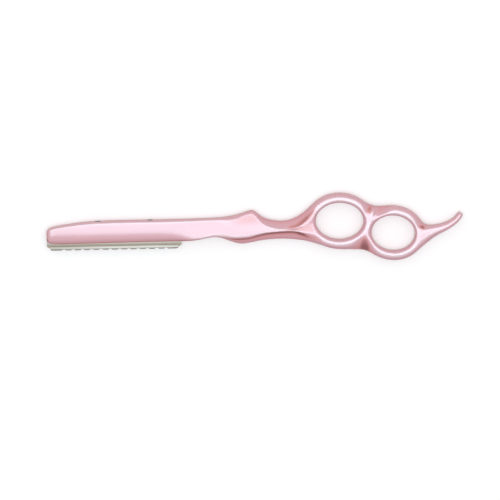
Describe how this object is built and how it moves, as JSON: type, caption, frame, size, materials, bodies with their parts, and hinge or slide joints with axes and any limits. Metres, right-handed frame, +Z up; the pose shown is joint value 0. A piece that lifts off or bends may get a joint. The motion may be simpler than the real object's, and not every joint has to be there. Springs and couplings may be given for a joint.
{
  "type": "hair styling razor",
  "caption": "Slim styling razor: flat bar head, pinched neck, finger rings and a curved finger rest, with a comb-guarded steel blade that slides into a slot in the head.",
  "frame": {"origin": "on the surface that the razor lies on, under the middle of its length and height", "axes": "+X from the head's tip to the end of the finger rest, +Y from the cutting edge to the spine, +Z up through the thickness; the razor lies flat on its side"},
  "size_m": [0.1914, 0.0316, 0.0058],
  "materials": {
    "pink_metal": "satin metallic",
    "black_oxide_steel": "satin",
    "spring_steel": "satin",
    "satin_steel": "satin",
    "ground_steel": "ground"
  },
  "bodies": {
    "razor_body": {"handle": "pink_metal", "clip_screw_front": "black_oxide_steel", "clip_screw_rear": "black_oxide_steel", "blade_clip": "spring_steel"},
    "cartridge": {"blade_back": "satin_steel", "blade_strip": "ground_steel", "blade_guard": "satin_steel"}
  },
  "joints": [
    {"name": "cartridge_slide", "type": "slide", "parent": "razor_body", "child": "cartridge", "axis": [-1, 0, 0], "range_m": [0, 0.058]}
  ]
}
